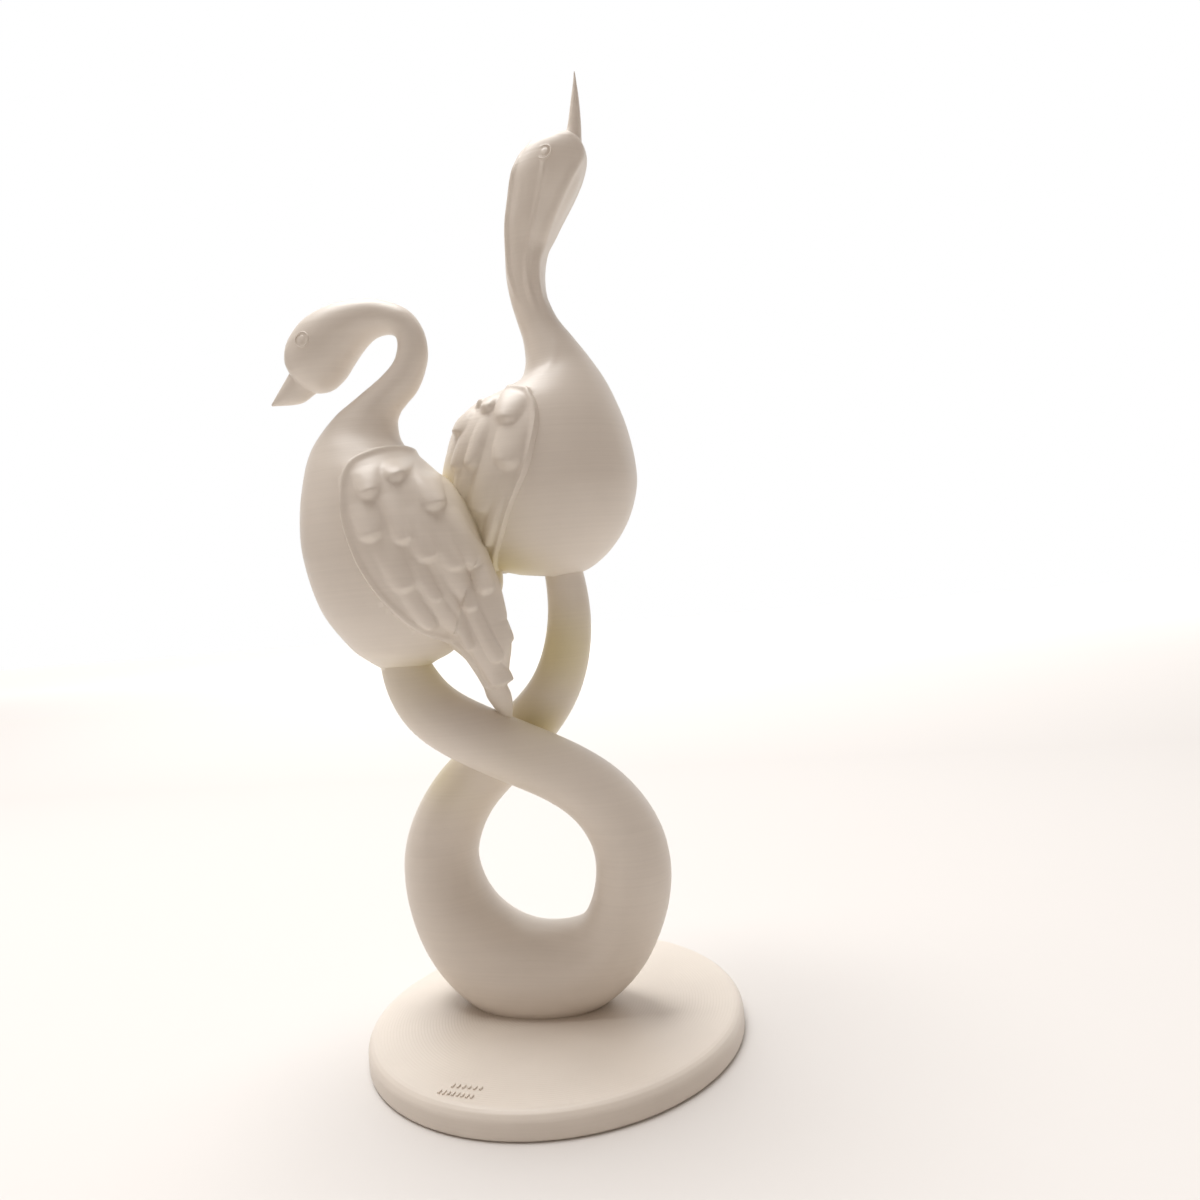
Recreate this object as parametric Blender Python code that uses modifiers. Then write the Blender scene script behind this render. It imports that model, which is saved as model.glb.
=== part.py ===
"""A printed statue of two swans back to back, on one looped stem and a round base.

Metres, +Z up. The origin is the middle of the base's underside, +X runs to the right swan's side
and -Y is the front. The figure is a free form, so its outlines are kept as thousandths of
FIGURE_HEIGHT, measured from the middle of the base's top.
"""
import math

import bmesh
import bpy
from mathutils import Vector
from mathutils.bvhtree import BVHTree

# The figure, from the base's top to the tip of the raised beak
FIGURE_HEIGHT = 0.191

# The round base
BASE_RADIUS = 0.038
BASE_THICKNESS = 0.0051
BASE_TOP_ROUND = 0.0022
BASE_FOOT_ROUND = 0.0008
BASE_TURN_STEPS = 48
BASE_ROUND_STEPS = 3

# The relief of the wings
WING_LIFT = 0.0009
WING_RIM_HEIGHT = 0.0005
WING_RIM_WIDTH = 0.0012
FEATHER_HEIGHT = 0.0011
WING_ROOT_DEPTH = 0.0022
WING_ROOT_SHARE = 0.4
WING_EDGE_THICKNESS = 0.0030
WING_EDGE_STEP = 0.004
HIDDEN_SIDE_RELIEF = 0.7

# The low domes of the eyes
EYE_RADIUS = 0.0014
EYE_HEIGHT = 0.0004

# Two short rows of raised strokes near the front of the base
STROKE_HEIGHT = 0.0003
STROKE_WIDTH = 0.0004
STROKE_LENGTH = 0.0010
STROKE_PITCH = 0.0008
STROKE_ROW_GAP = 0.0018
STROKE_ROWS = (8, 6)
STROKE_INSET = 0.0058
STROKE_SIDE = -0.0105
STROKE_SINK = 0.0006

# How finely each form is divided
STEM_SIDES = 14
STEM_STEPS = 2
FORM_SIDES = 14
FORM_STEPS = 2
SHOWN_WING_ROWS = 30
SHOWN_WING_COLUMNS = 14
HIDDEN_WING_ROWS = 24
HIDDEN_WING_COLUMNS = 9
EYE_SIDES = 8
SHARP_ANGLE = 40

# The stem's middle line, from inside the left swan, in front through the crossing, round the
# loop and up behind into the right swan: x, y, z, radius
STEM = (
    (-127, -37, 412, 19),
    (-123, -37, 380, 25.5),
    (-107, -37, 343, 30),
    (-79, -36, 315, 32),
    (-18, -31, 283, 33),
    (33, -29, 259, 32.6),
    (73, -24, 228, 34.5),
    (96, -18, 186, 37.5),
    (99, -13, 146, 39.5),
    (90, -8, 108, 39.5),
    (65, 0, 66, 43.5),
    (26, 5, 41, 51.5),
    (-18, 10, 30, 55),
    (-62, 16, 40, 55),
    (-98, 21, 69, 51),
    (-118, 24, 105, 46),
    (-126, 26, 143, 42.5),
    (-122, 29, 179, 40),
    (-94, 31, 229, 36.5),
    (-49, 31, 266, 33.5),
    (-12, 34, 299, 30.5),
    (17, 37, 331, 28),
    (35, 37, 370, 26),
    (43, 37, 410, 24),
    (43, 37, 447, 22),
    (38, 37, 483, 20),
)

# Each swan's outline as pairs of points on the breast side and on the back side, from below up
# along the neck to the forehead: breast x, z, back x, z, y, thickness as a share of the width
LEFT_FORM = (
    (-138, 373, -102, 375, -37, 0.90),
    (-160, 388, -88, 382, -37, 0.86),
    (-179, 406, -66, 394, -37, 0.84),
    (-204, 446, -40, 428, -37, 0.84),
    (-217, 500, -28, 477, -37, 0.84),
    (-217, 543, -31, 521, -37, 0.84),
    (-209, 585, -49, 559, -37, 0.86),
    (-200, 611, -80, 586, -37, 0.90),
    (-187, 630, -104, 612, -37, 0.95),
    (-170, 647, -108, 632, -37, 0.98),
    (-154, 658, -104, 644, -37, 1.00),
    (-136, 670, -96, 652, -37, 1.00),
    (-118, 682, -83, 664, -37, 1.00),
    (-104, 695, -73, 681, -37, 1.00),
    (-98, 709, -67, 702, -37, 1.00),
    (-99, 721, -70, 727, -37, 1.00),
    (-109, 726, -85, 749, -37, 1.00),
    (-124, 724, -116, 763, -37, 0.98),
    (-137, 715, -147, 766, -37, 0.92),
    (-151, 700, -174, 762, -37, 0.86),
    (-163, 686, -199, 751, -37, 0.84),
    (-178, 676, -217, 732, -37, 0.84),
    (-194, 675, -223, 714, -37, 0.86),
    (-208, 681, -220, 701, -37, 0.90),
)
LEFT_BEAK = (
    (-183, 682, -214, 706, -37, 0.80),
    (-197, 674, -222, 697, -37, 0.80),
    (-214, 666, -234, 683, -37, 0.70),
    (-245, 667, -246, 669, -37, 0.70),
)
LEFT_TAIL = (
    (-124, 459, -37, 514, -42, 0.50),
    (-92, 418, -14, 466, -47, 0.50),
    (-62, 392, -7, 429, -47, 0.55),
    (-51, 380, -5, 396, -45, 0.60),
    (-43, 364, -11, 373, -39, 0.70),
    (-38, 350, -14, 356, -37, 0.80),
    (-36, 339, -11, 342, -34, 0.80),
    (-28, 323, -11, 329, -31, 0.80),
    (-24, 306, -14, 309, -29, 0.80),
)
RIGHT_FORM = (
    (45, 458, -9, 465, 37, 0.90),
    (71, 466, -40, 475, 37, 0.84),
    (96, 485, -67, 495, 37, 0.82),
    (117, 514, -80, 527, 37, 0.82),
    (129, 548, -84, 559, 37, 0.82),
    (130, 577, -80, 594, 37, 0.82),
    (125, 610, -67, 629, 37, 0.82),
    (117, 638, -46, 651, 37, 0.84),
    (105, 668, -14, 663, 37, 0.88),
    (90, 694, 10, 673, 37, 0.92),
    (74, 718, 19, 691, 37, 0.98),
    (59, 740, 19, 717, 37, 1.00),
    (51, 759, 14, 740, 37, 1.00),
    (47, 776, 9, 762, 37, 1.00),
    (47, 794, 6, 789, 37, 1.00),
    (51, 815, 7, 817, 37, 1.00),
    (62, 832, 9, 846, 37, 1.00),
    (73, 848, 15, 872, 37, 0.95),
    (87, 868, 20, 896, 37, 0.90),
    (97, 886, 30, 914, 37, 0.88),
    (102, 905, 43, 928, 37, 0.88),
    (101, 921, 60, 936, 37, 0.88),
    (95, 932, 76, 938, 37, 0.90),
)
RIGHT_BEAK = (
    (102, 911, 74, 927, 37, 0.80),
    (102, 925, 85, 937, 37, 0.80),
    (103, 945, 89, 947, 37, 0.90),
    (103, 969, 94, 970, 37, 1.00),
    (102, 987, 98, 988, 37, 1.00),
    (101, 1000, 100, 1000, 37, 1.00),
)
RIGHT_TAIL = (
    (-8, 483, -66, 548, 42, 0.50),
    (-46, 470, -97, 504, 46, 0.50),
    (-58, 441, -104, 466, 47, 0.50),
    (-62, 417, -99, 438, 45, 0.50),
    (-68, 397, -91, 410, 43, 0.50),
    (-75, 385, -84, 390, 42, 0.50),
)

# The wing's outline along its axis, from the shoulder to the tip, in shares of its length:
# along, half width on the breast side, half width on the back side
WING_OUTLINE = (
    (-0.012, 0.012, 0.010),
    (0.010, 0.085, 0.050),
    (0.060, 0.135, 0.080),
    (0.150, 0.175, 0.105),
    (0.270, 0.190, 0.130),
    (0.400, 0.190, 0.145),
    (0.520, 0.172, 0.150),
    (0.620, 0.132, 0.138),
    (0.690, 0.088, 0.118),
    (0.760, 0.046, 0.090),
    (0.820, 0.018, 0.056),
    (0.850, -0.012, 0.026),
)

# Rows of feathers: first tip along, step along, first tip across, step across, number of
# feathers, half width, length, all but the number in shares of the wing's length
FEATHER_ROWS = (
    (0.150, 0.045, -0.080, 0.070, 3, 0.044, 0.110),
    (0.300, 0.052, -0.119, 0.060, 5, 0.036, 0.160),
    (0.504, 0.034, -0.095, 0.072, 4, 0.038, 0.180),
    (0.640, 0.065, -0.060, 0.048, 4, 0.034, 0.240),
    (0.900, 0.045, -0.008, 0.026, 2, 0.024, 0.260),
)

# The seam inside, where the two birds were printed into each other: its middle and half sizes
SEAM_MIDDLE = (-50, 20, 482)
SEAM_HALF_SIZES = (22, 24, 44)
SEAM_LEAN = -20

SWANS = {
    "left": {
        "form": LEFT_FORM,
        "beak": LEFT_BEAK,
        "tail": LEFT_TAIL,
        "shoulder": (-102, 597),
        "tip": (-18, 328),
        "sweep": 0.0,
        "breast": -1,
        "eye": (-188, 722),
    },
    "right": {
        "form": RIGHT_FORM,
        "beak": RIGHT_BEAK,
        "tail": RIGHT_TAIL,
        "shoulder": (22, 662),
        "tip": (-58, 388),
        "sweep": 0.14,
        "breast": 1,
        "eye": (67, 905),
    },
}


def clear_scene():
    """Remove what the scene holds, so that the model stands alone."""
    for old in list(bpy.data.objects):
        bpy.data.objects.remove(old, do_unlink=True)


def new_collection(name):
    """Make a collection in the scene."""
    made = bpy.data.collections.new(name)
    bpy.context.scene.collection.children.link(made)
    return made


def place(x, y, z):
    """Turn thousandths of the figure's height into a point above the base."""
    unit = FIGURE_HEIGHT / 1000
    return Vector((x * unit, y * unit, BASE_THICKNESS + z * unit))


def smooth_rows(rows, steps):
    """Run a smooth curve through rows of numbers, with so many steps from row to row."""
    found = []
    last = len(rows) - 1
    for index in range(last):
        before = rows[max(index - 1, 0)]
        start = rows[index]
        end = rows[index + 1]
        after = rows[min(index + 2, last)]
        for step in range(steps):
            t = step / steps
            found.append(tuple(
                0.5 * (2 * b + (c - a) * t + (2 * a - 5 * b + 4 * c - d) * t * t
                       + (3 * b - a - 3 * c + d) * t ** 3)
                for a, b, c, d in zip(before, start, end, after)
            ))
    found.append(tuple(float(value) for value in rows[last]))
    return found


def mesh_object(name, points, faces, collection):
    """Make an object from points and faces, with its faces pointing outwards."""
    mesh = bpy.data.meshes.new(name)
    mesh.from_pydata(points, [], faces)
    shape = bmesh.new()
    shape.from_mesh(mesh)
    bmesh.ops.recalc_face_normals(shape, faces=shape.faces)
    shape.to_mesh(mesh)
    shape.free()
    mesh.shade_smooth()
    mesh.set_sharp_from_angle(angle=math.radians(SHARP_ANGLE))
    made = bpy.data.objects.new(name, mesh)
    collection.objects.link(made)
    return made


def loft(name, rings, collection):
    """Skin a row of rings of points, and close both ends with a point in the middle."""
    sides = len(rings[0])
    points = [point for ring in rings for point in ring]
    faces = []
    for row in range(len(rings) - 1):
        for side in range(sides):
            after = (side + 1) % sides
            low = row * sides
            high = low + sides
            faces.append((low + side, low + after, high + after, high + side))
    for row, order in ((0, 1), (len(rings) - 1, -1)):
        points.append(sum(rings[row], Vector()) / sides)
        middle = len(points) - 1
        for side in range(sides):
            pair = (row * sides + side, row * sides + (side + 1) % sides)
            faces.append((middle,) + pair[::-order])
    return mesh_object(name, points, faces, collection)


def form_rings(rows, steps, sides):
    """Turn pairs of outline points into oval rings that reach from one point to the other."""
    rings = []
    for breast_x, breast_z, back_x, back_z, y, share in smooth_rows(rows, steps):
        breast = place(breast_x, y, breast_z)
        back = place(back_x, y, back_z)
        middle = (breast + back) / 2
        across = (breast - back) / 2
        deep = Vector((0, across.length * share, 0))
        ring = []
        for side in range(sides):
            angle = 2 * math.pi * side / sides
            ring.append(middle + across * math.cos(angle) + deep * math.sin(angle))
        rings.append(ring)
    return rings


def make_stem(collection):
    """Bend a tapering round tube along the stem's middle line."""
    curve = bpy.data.curves.new("stem", "CURVE")
    curve.dimensions = "3D"
    curve.bevel_depth = 1.0
    curve.bevel_resolution = (STEM_SIDES - 4) // 2
    curve.use_fill_caps = True
    spline = curve.splines.new("POLY")
    rows = smooth_rows(STEM, STEM_STEPS)
    spline.points.add(len(rows) - 1)
    for point, (x, y, z, radius) in zip(spline.points, rows):
        point.co = (*place(x, y, z), 1)
        point.radius = radius * FIGURE_HEIGHT / 1000
    bent = bpy.data.objects.new("stem", curve)
    collection.objects.link(bent)
    bpy.context.view_layer.update()
    mesh = bpy.data.meshes.new_from_object(bent.evaluated_get(bpy.context.evaluated_depsgraph_get()))
    shape = bmesh.new()
    shape.from_mesh(mesh)
    bmesh.ops.remove_doubles(shape, verts=shape.verts, dist=1e-6)
    bmesh.ops.recalc_face_normals(shape, faces=shape.faces)
    shape.to_mesh(mesh)
    shape.free()
    made = bpy.data.objects.new("stem_tube", mesh)
    made.matrix_world = bent.matrix_world
    collection.objects.link(made)
    bpy.data.objects.remove(bent, do_unlink=True)
    return made


def through(under, spot, plane_y):
    """Find where a line from front to back enters and leaves a form, or nothing if it misses."""
    reach = FIGURE_HEIGHT / 2
    found = []
    for facing in (-1, 1):
        outside = Vector((spot.x, plane_y + facing * reach, spot.z))
        hit = under.ray_cast(outside, Vector((0, -facing, 0)), 2 * reach)
        if hit[0] is None:
            return None
        found.append(hit[0].y)
    return found


def carried(under, middle, way, half_width, plane_y):
    """Draw a wing's half width in until the form under it is thick enough to carry its edge."""
    while half_width > WING_EDGE_STEP:
        found = through(under, middle + way * half_width, plane_y)
        if found is not None and found[1] - found[0] > WING_EDGE_THICKNESS:
            return half_width
        half_width -= WING_EDGE_STEP
    return half_width


def outline_at(along):
    """Give the wing's half widths on the breast side and the back side at a share of its length."""
    rows = smooth_rows(WING_OUTLINE, 4)
    for low, high in zip(rows, rows[1:]):
        if low[0] <= along <= high[0]:
            part = (along - low[0]) / (high[0] - low[0])
            return tuple(a + (b - a) * part for a, b in zip(low[1:], high[1:]))
    return rows[-1][1:]


def feather_height(along, across):
    """Give the height of the feathers, from 0 to 1, at a place on the wing."""
    height = 0.0
    for tip, tip_step, side, side_step, count, half_width, length in FEATHER_ROWS:
        for index in range(count):
            reach = (along - (tip + index * tip_step - length)) / length
            if not 0 <= reach <= 1:
                continue
            width = half_width * math.sqrt(max(1 - reach ** 5, 0.0))
            off = abs(across - (side + index * side_step)) / max(width, 1e-6)
            if off < 1:
                crown = (1 - off ** 3) ** 0.5
                height = max(height, (0.15 + 0.85 * reach) * crown)
    return height


def make_wing(name, swan, under, facing, relief, rows, columns, collection):
    """Lay a feathered oval shell on one side of a swan, facing -1 to the front or 1 to the back."""
    shoulder = place(swan["shoulder"][0], 0, swan["shoulder"][1])
    tip = place(swan["tip"][0], 0, swan["tip"][1])
    length = (tip - shoulder).length
    down = (tip - shoulder).normalized()
    outward = Vector((-down.z, 0, down.x))
    if outward.x * swan["breast"] > 0:
        outward = -outward
    plane_y = swan["form"][0][4] * FIGURE_HEIGHT / 1000
    start = WING_OUTLINE[0][0]
    end = WING_OUTLINE[-1][0]
    top = []
    roots = []
    for row in range(rows + 1):
        along = start + (end - start) * row / rows
        breast_half, back_half = outline_at(along)
        middle = shoulder + (down * along + outward * (swan["sweep"] * along ** 3)) * length
        breast_half = carried(under, middle, -outward * length, breast_half, plane_y)
        back_half = carried(under, middle, outward * length, back_half, plane_y)
        line = []
        for column in range(columns + 1):
            part = column / columns
            across = -breast_half + (breast_half + back_half) * part
            spot = middle + outward * (across * length)
            near, far = through(under, spot, plane_y) or (plane_y, plane_y)
            surface_y = near if facing < 0 else far
            thickness = far - near
            edge = min(across + breast_half, back_half - across) * length
            rim = max(0.0, 1 - abs((across + breast_half) * length - WING_RIM_WIDTH / 2)
                      / (WING_RIM_WIDTH / 2))
            lift = WING_LIFT * min(1.0, 0.35 + edge / WING_RIM_WIDTH)
            lift += WING_RIM_HEIGHT * rim + FEATHER_HEIGHT * relief * feather_height(along, across)
            line.append(Vector((spot.x, surface_y + facing * lift, spot.z)))
            if column in (0, columns):
                root = surface_y - facing * min(WING_ROOT_DEPTH, WING_ROOT_SHARE * thickness)
                roots.append(Vector((spot.x, root, spot.z)))
        top.append(line)
    points = [point for line in top for point in line]
    faces = []
    across_count = columns + 1
    for row in range(rows):
        for column in range(columns):
            corner = row * across_count + column
            faces.append((corner, corner + 1, corner + across_count + 1, corner + across_count))
    low = []
    for row in range(rows + 1):
        pair = []
        for end_index in (0, 1):
            points.append(roots[2 * row + end_index])
            pair.append(len(points) - 1)
        low.append(pair)
    for row in range(rows):
        corner = row * across_count
        faces.append((low[row][0], low[row][1], low[row + 1][1], low[row + 1][0]))
        faces.append((corner, corner + across_count, low[row + 1][0], low[row][0]))
        far = corner + columns
        faces.append((far + across_count, far, low[row][1], low[row + 1][1]))
    for row, first in ((0, 0), (rows, rows * across_count)):
        ring = [first + column for column in range(across_count)] + [low[row][1], low[row][0]]
        faces.append(tuple(ring))
    return mesh_object(name, points, faces, collection)


def make_seam(collection):
    """Fill the seam between the birds with an egg, so that nothing hollow is left in it."""
    shape = bmesh.new()
    bmesh.ops.create_uvsphere(shape, u_segments=FORM_SIDES, v_segments=FORM_SIDES // 2, radius=1.0)
    mesh = bpy.data.meshes.new("seam")
    shape.to_mesh(mesh)
    shape.free()
    made = bpy.data.objects.new("seam", mesh)
    made.scale = [half * FIGURE_HEIGHT / 1000 for half in SEAM_HALF_SIZES]
    made.rotation_euler.y = math.radians(SEAM_LEAN)
    made.location = place(*SEAM_MIDDLE)
    collection.objects.link(made)
    return made


def make_eye(name, swan, under, facing, collection):
    """Set a low round dome on one side of a head."""
    plane_y = swan["form"][0][4] * FIGURE_HEIGHT / 1000
    spot = place(swan["eye"][0], 0, swan["eye"][1])
    reach = FIGURE_HEIGHT / 2
    hit = under.ray_cast(Vector((spot.x, plane_y + facing * reach, spot.z)), Vector((0, -facing, 0)), reach)
    shape = bmesh.new()
    bmesh.ops.create_uvsphere(shape, u_segments=EYE_SIDES, v_segments=EYE_SIDES // 2, radius=1.0)
    mesh = bpy.data.meshes.new(name)
    shape.to_mesh(mesh)
    shape.free()
    made = bpy.data.objects.new(name, mesh)
    made.scale = (EYE_RADIUS, EYE_RADIUS, EYE_HEIGHT * 2)
    made.rotation_euler = hit[1].to_track_quat("Z", "Y").to_euler()
    made.location = hit[0] - hit[1] * EYE_HEIGHT
    collection.objects.link(made)
    return made


def make_base(collection):
    """Turn the base's profile, with a soft round on top and a small one below."""
    points = [(0.0, BASE_THICKNESS)]
    for centre, first, radius in (
        ((BASE_RADIUS - BASE_TOP_ROUND, BASE_THICKNESS - BASE_TOP_ROUND), 90, BASE_TOP_ROUND),
        ((BASE_RADIUS - BASE_FOOT_ROUND, BASE_FOOT_ROUND), 0, BASE_FOOT_ROUND),
    ):
        for step in range(BASE_ROUND_STEPS + 1):
            angle = math.radians(first - 90 * step / BASE_ROUND_STEPS)
            points.append((centre[0] + radius * math.cos(angle), centre[1] + radius * math.sin(angle)))
    points.append((0.0, 0.0))
    mesh = bpy.data.meshes.new("base")
    mesh.from_pydata([(x, 0, z) for x, z in points], [(i, i + 1) for i in range(len(points) - 1)], [])
    made = bpy.data.objects.new("base", mesh)
    collection.objects.link(made)
    turn = made.modifiers.new("turn", "SCREW")
    turn.axis = "Z"
    turn.steps = BASE_TURN_STEPS
    turn.render_steps = BASE_TURN_STEPS
    turn.use_merge_vertices = True
    turn.merge_threshold = 0.00001
    return made


def make_strokes(collection):
    """Raise two short rows of plain strokes on the base, where the photo has an inscription."""
    made = []
    for row, count in enumerate(STROKE_ROWS):
        for index in range(count):
            x = STROKE_SIDE + (index - (count - 1) / 2) * STROKE_PITCH
            y = -(BASE_RADIUS - STROKE_INSET) + (row - 0.5) * STROKE_ROW_GAP
            height = STROKE_HEIGHT + STROKE_SINK
            shape = bmesh.new()
            bmesh.ops.create_cube(shape, size=1.0)
            length = STROKE_LENGTH * (0.7 if (index + row) % 3 == 1 else 1.0)
            bmesh.ops.scale(shape, vec=(STROKE_WIDTH, length, height), verts=shape.verts)
            mesh = bpy.data.meshes.new("stroke")
            shape.to_mesh(mesh)
            shape.free()
            stroke = bpy.data.objects.new("stroke_%d_%d" % (row, index), mesh)
            stroke.location = (x, y, BASE_THICKNESS + STROKE_HEIGHT - height / 2)
            collection.objects.link(stroke)
            made.append(stroke)
    return made


def surface_of(objects):
    """Gather the faces of plain mesh objects in one search tree."""
    points = []
    faces = []
    for item in objects:
        offset = len(points)
        points.extend(vertex.co.copy() for vertex in item.data.vertices)
        faces.extend([offset + index for index in face.vertices] for face in item.data.polygons)
    return BVHTree.FromPolygons(points, faces)


def make_swan(side, swan, collection):
    """Make one swan's body, beak, tail, wings and eyes."""
    body = loft(side + "_form", form_rings(swan["form"], FORM_STEPS, FORM_SIDES), collection)
    beak = loft(side + "_beak", form_rings(swan["beak"], FORM_STEPS, FORM_SIDES // 2), collection)
    tail = loft(side + "_tail", form_rings(swan["tail"], FORM_STEPS, FORM_SIDES // 2), collection)
    made = [body, beak, tail]
    under = surface_of((body, tail))
    for facing, word in ((-1, "front"), (1, "back")):
        shown = facing == -1
        relief = 1.0 if shown else HIDDEN_SIDE_RELIEF
        rows = SHOWN_WING_ROWS if shown else HIDDEN_WING_ROWS
        columns = SHOWN_WING_COLUMNS if shown else HIDDEN_WING_COLUMNS
        made.append(make_wing("%s_%s_wing" % (side, word), swan, under, facing, relief, rows, columns,
                              collection))
        made.append(make_eye("%s_%s_eye" % (side, word), swan, under, facing, collection))
    return made


def printed_plastic():
    """A matt ivory plastic."""
    made = bpy.data.materials.new("ivory_plastic")
    made.use_nodes = True
    shader = made.node_tree.nodes["Principled BSDF"]
    shader.inputs["Base Color"].default_value = (0.72, 0.64, 0.53, 1)
    shader.inputs["Roughness"].default_value = 0.45
    shader.inputs["Metallic"].default_value = 0.0
    return made


def build():
    """Fuse the base, the stem and both swans into the one printed piece."""
    clear_scene()
    parts = new_collection("lovebirds")
    forms = new_collection("forms")
    statue = make_base(parts)
    statue.name = "lovebirds_statue"
    pieces = [make_stem(forms)]
    for side, swan in SWANS.items():
        pieces.extend(make_swan(side, swan, forms))
    pieces.append(make_seam(forms))
    pieces.extend(make_strokes(forms))
    for piece in pieces:
        piece.hide_render = True
        piece.display_type = "WIRE"
        join = statue.modifiers.new("join_" + piece.name, "BOOLEAN")
        join.operation = "UNION"
        join.solver = "EXACT"
        join.use_self = piece.name == "stem_tube"
        join.object = piece
    statue.data.materials.append(printed_plastic())


build()
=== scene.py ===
"""The looks of a printed statue: two swans back to back on one looped stem, on a round base."""

import math

import bmesh
import bpy
import numpy as np
from mathutils import Euler, Matrix, Vector
from mathutils.bvhtree import BVHTree


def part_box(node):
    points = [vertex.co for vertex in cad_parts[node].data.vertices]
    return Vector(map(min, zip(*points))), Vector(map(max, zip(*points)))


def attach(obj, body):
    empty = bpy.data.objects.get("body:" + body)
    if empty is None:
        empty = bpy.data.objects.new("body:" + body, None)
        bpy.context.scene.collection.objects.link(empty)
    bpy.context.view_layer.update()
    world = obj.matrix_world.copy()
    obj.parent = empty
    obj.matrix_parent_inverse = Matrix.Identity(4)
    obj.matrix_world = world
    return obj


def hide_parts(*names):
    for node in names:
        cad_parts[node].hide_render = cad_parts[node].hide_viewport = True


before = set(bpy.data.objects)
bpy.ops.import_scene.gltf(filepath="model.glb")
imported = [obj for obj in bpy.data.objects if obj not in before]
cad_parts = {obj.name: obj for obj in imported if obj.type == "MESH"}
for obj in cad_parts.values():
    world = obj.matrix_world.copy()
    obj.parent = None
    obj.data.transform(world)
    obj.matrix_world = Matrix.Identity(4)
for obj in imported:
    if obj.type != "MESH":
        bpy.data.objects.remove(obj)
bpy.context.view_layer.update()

# The camera is a phone held a hand's length in front of the figure, a little to the right of it
# and level with the swans' bodies. It was turned a few degrees in the hand, and its lens is as
# wide as a phone's main one.
CAMERA_PLACE = Vector((0.0477, -0.1783, 0.0909))
CAMERA_TURN = math.radians(10.0)
CAMERA_DIP = 0.0198
CAMERA_ROLL = 0.0866
CAMERA_LENS = 27.0
CAMERA_SENSOR = 36.0
CAMERA_NEAR = 0.01

camera_data = bpy.data.cameras.new("phone")
camera_data.lens = CAMERA_LENS
camera_data.sensor_width = CAMERA_SENSOR
camera_data.clip_start = CAMERA_NEAR
camera = bpy.data.objects.new("phone", camera_data)
camera.rotation_mode = "QUATERNION"
camera.location = CAMERA_PLACE
camera.rotation_quaternion = (
    Matrix.Rotation(CAMERA_TURN, 3, "Z")
    @ Matrix.Rotation(math.pi / 2 - CAMERA_DIP, 3, "X")
    @ Matrix.Rotation(-CAMERA_ROLL, 3, "Z")
).to_quaternion()
bpy.context.scene.collection.objects.link(camera)
bpy.context.scene.camera = camera

# The base is a flat round disc, printed first, straight on the heated bed. Its top edge is
# rounded over like a pebble's, and its foot has only the small round that the first layers get.
BASE_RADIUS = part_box("lovebirds_statue")[1].y
BASE_THICKNESS = 0.0051
BASE_TOP_ROUND = 0.0022
BASE_FOOT_ROUND = 0.0008
BASE_TURNS = 144
BASE_ROUND_STEPS = 8
BASE_FLAT_STEPS = 12
TURN_GAP = 0.00001
DOUBLE_GAP = 1e-7

FIGURE_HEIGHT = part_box("lovebirds_statue")[1].z - BASE_THICKNESS
SHARE = FIGURE_HEIGHT / 1000

figure = bpy.data.collections.new("figure")
bpy.context.scene.collection.children.link(figure)


def figure_piece(name, mesh):
    """Put a mesh or a curve into the figure as an object."""
    made = bpy.data.objects.new(name, mesh)
    figure.objects.link(made)
    return made


def clean(mesh):
    """Merge the doubled points of a mesh and turn its faces outwards."""
    shape = bmesh.new()
    shape.from_mesh(mesh)
    bmesh.ops.remove_doubles(shape, verts=shape.verts, dist=DOUBLE_GAP)
    bmesh.ops.recalc_face_normals(shape, faces=shape.faces)
    shape.to_mesh(mesh)
    shape.free()


def mesh_piece(name, points, faces):
    """Make a clean object from points and faces."""
    mesh = bpy.data.meshes.new(name)
    mesh.from_pydata([tuple(point) for point in points], [], faces)
    clean(mesh)
    return figure_piece(name, mesh)


def plain_mesh(maker):
    """Turn what an object's modifiers make into a clean mesh object of the same name."""
    bpy.context.view_layer.update()
    evaluated = maker.evaluated_get(bpy.context.evaluated_depsgraph_get())
    mesh = bpy.data.meshes.new_from_object(evaluated)
    name = maker.name
    bpy.data.objects.remove(maker, do_unlink=True)
    clean(mesh)
    return figure_piece(name, mesh)


def turned_base():
    """Turn the base's profile about the middle, from the top's centre to the foot's."""
    profile = [(BASE_RADIUS * step / BASE_FLAT_STEPS, BASE_THICKNESS)
               for step in range(BASE_FLAT_STEPS - 1)]
    for centre, first, radius in (
        ((BASE_RADIUS - BASE_TOP_ROUND, BASE_THICKNESS - BASE_TOP_ROUND), 90, BASE_TOP_ROUND),
        ((BASE_RADIUS - BASE_FOOT_ROUND, BASE_FOOT_ROUND), 0, BASE_FOOT_ROUND),
    ):
        for step in range(BASE_ROUND_STEPS + 1):
            angle = math.radians(first - 90 * step / BASE_ROUND_STEPS)
            profile.append((centre[0] + radius * math.cos(angle),
                            centre[1] + radius * math.sin(angle)))
    profile.append((0.0, 0.0))
    mesh = bpy.data.meshes.new("base_disc")
    mesh.from_pydata([(x, 0, z) for x, z in profile],
                     [(index, index + 1) for index in range(len(profile) - 1)], [])
    disc = figure_piece("base_disc", mesh)
    turn = disc.modifiers.new("turn", "SCREW")
    turn.axis = "Z"
    turn.steps = BASE_TURNS
    turn.render_steps = BASE_TURNS
    turn.use_merge_vertices = True
    turn.merge_threshold = TURN_GAP
    return plain_mesh(disc)


base_disc = turned_base()

# The stem is one tapering round bar, printed with thin walls like the rest. It drops from the left
# swan, passes in front of itself, runs round the loop that stands on the base, and rises behind
# into the right swan.

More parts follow.
